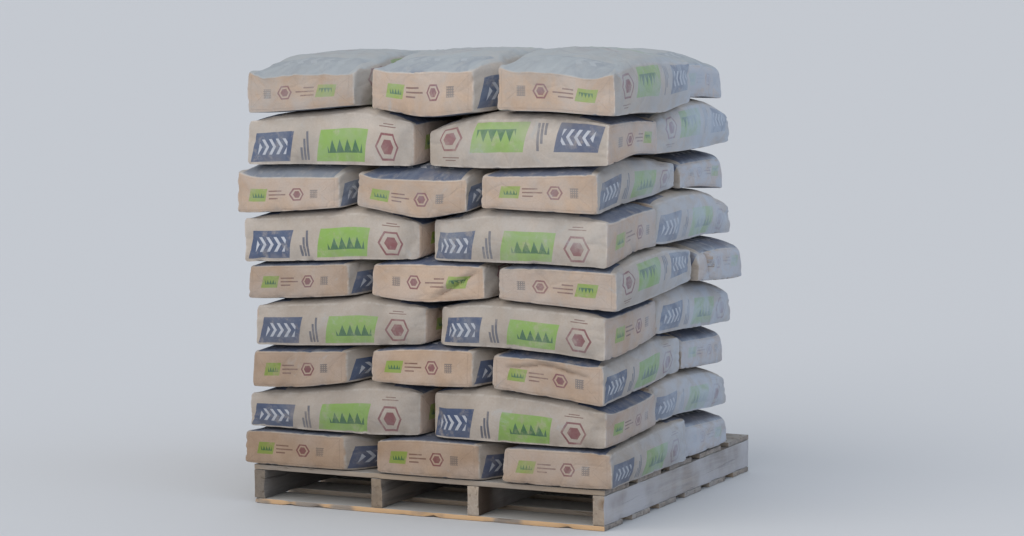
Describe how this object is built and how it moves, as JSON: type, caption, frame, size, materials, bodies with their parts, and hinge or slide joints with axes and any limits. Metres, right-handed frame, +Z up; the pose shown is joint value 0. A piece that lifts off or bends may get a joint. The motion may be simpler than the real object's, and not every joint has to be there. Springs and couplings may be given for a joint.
{
  "type": "pallet of cement sacks",
  "caption": "Load of filled block-bottom paper sacks in interlocked layers on a stringer pallet, standing on its bottom boards, open to forks from front and back.",
  "frame": {"origin": "middle of the footprint of the whole load, on the ground", "axes": "+Z up; -Y towards the wide front with the fork openings, +X to the right seen from the front"},
  "size_m": [1.253, 1.2016, 1.3799],
  "materials": {
    "pallet_wood": "weathered, rough sawn",
    "kraft_paper": "dusty matte, printed panels"
  },
  "bodies": {
    "root": {"bottom_board_1": "pallet_wood", "bottom_board_2": "pallet_wood", "bottom_board_3": "pallet_wood", "bottom_board_4": "pallet_wood", "bottom_board_5": "pallet_wood", "bottom_board_6": "pallet_wood", "stringer_left": "pallet_wood", "stringer_inner_left": "pallet_wood", "stringer_inner_right": "pallet_wood", "stringer_right": "pallet_wood", "deck_board_1": "pallet_wood", "deck_board_2": "pallet_wood", "deck_board_3": "pallet_wood", "deck_board_4": "pallet_wood", "deck_board_5": "pallet_wood", "sack_1_front_left": "kraft_paper", "sack_1_front_middle": "kraft_paper", "sack_1_front_right": "kraft_paper", "sack_1_back_left": "kraft_paper", "sack_1_back_right": "kraft_paper", "sack_2_front_left": "kraft_paper", "sack_2_front_right": "kraft_paper", "sack_2_back_left": "kraft_paper", "sack_2_back_middle": "kraft_paper", "sack_2_back_right": "kraft_paper", "sack_3_front_left": "kraft_paper", "sack_3_front_middle": "kraft_paper", "sack_3_front_right": "kraft_paper", "sack_3_back_left": "kraft_paper", "sack_3_back_right": "kraft_paper", "sack_4_front_left": "kraft_paper", "sack_4_front_right": "kraft_paper", "sack_4_back_left": "kraft_paper", "sack_4_back_middle": "kraft_paper", "sack_4_back_right": "kraft_paper", "sack_5_front_left": "kraft_paper", "sack_5_front_middle": "kraft_paper", "sack_5_front_right": "kraft_paper", "sack_5_back_left": "kraft_paper", "sack_5_back_right": "kraft_paper", "sack_6_front_left": "kraft_paper", "sack_6_front_right": "kraft_paper", "sack_6_back_left": "kraft_paper", "sack_6_back_middle": "kraft_paper", "sack_6_back_right": "kraft_paper", "sack_7_front_left": "kraft_paper", "sack_7_front_middle": "kraft_paper", "sack_7_front_right": "kraft_paper", "sack_7_back_left": "kraft_paper", "sack_7_back_right": "kraft_paper", "sack_8_front_left": "kraft_paper", "sack_8_front_right": "kraft_paper", "sack_8_back_left": "kraft_paper", "sack_8_back_middle": "kraft_paper", "sack_8_back_right": "kraft_paper", "sack_9_front_left": "kraft_paper", "sack_9_front_middle": "kraft_paper", "sack_9_front_right": "kraft_paper", "sack_9_back_left": "kraft_paper", "sack_9_back_right": "kraft_paper"}
  },
  "joints": []
}
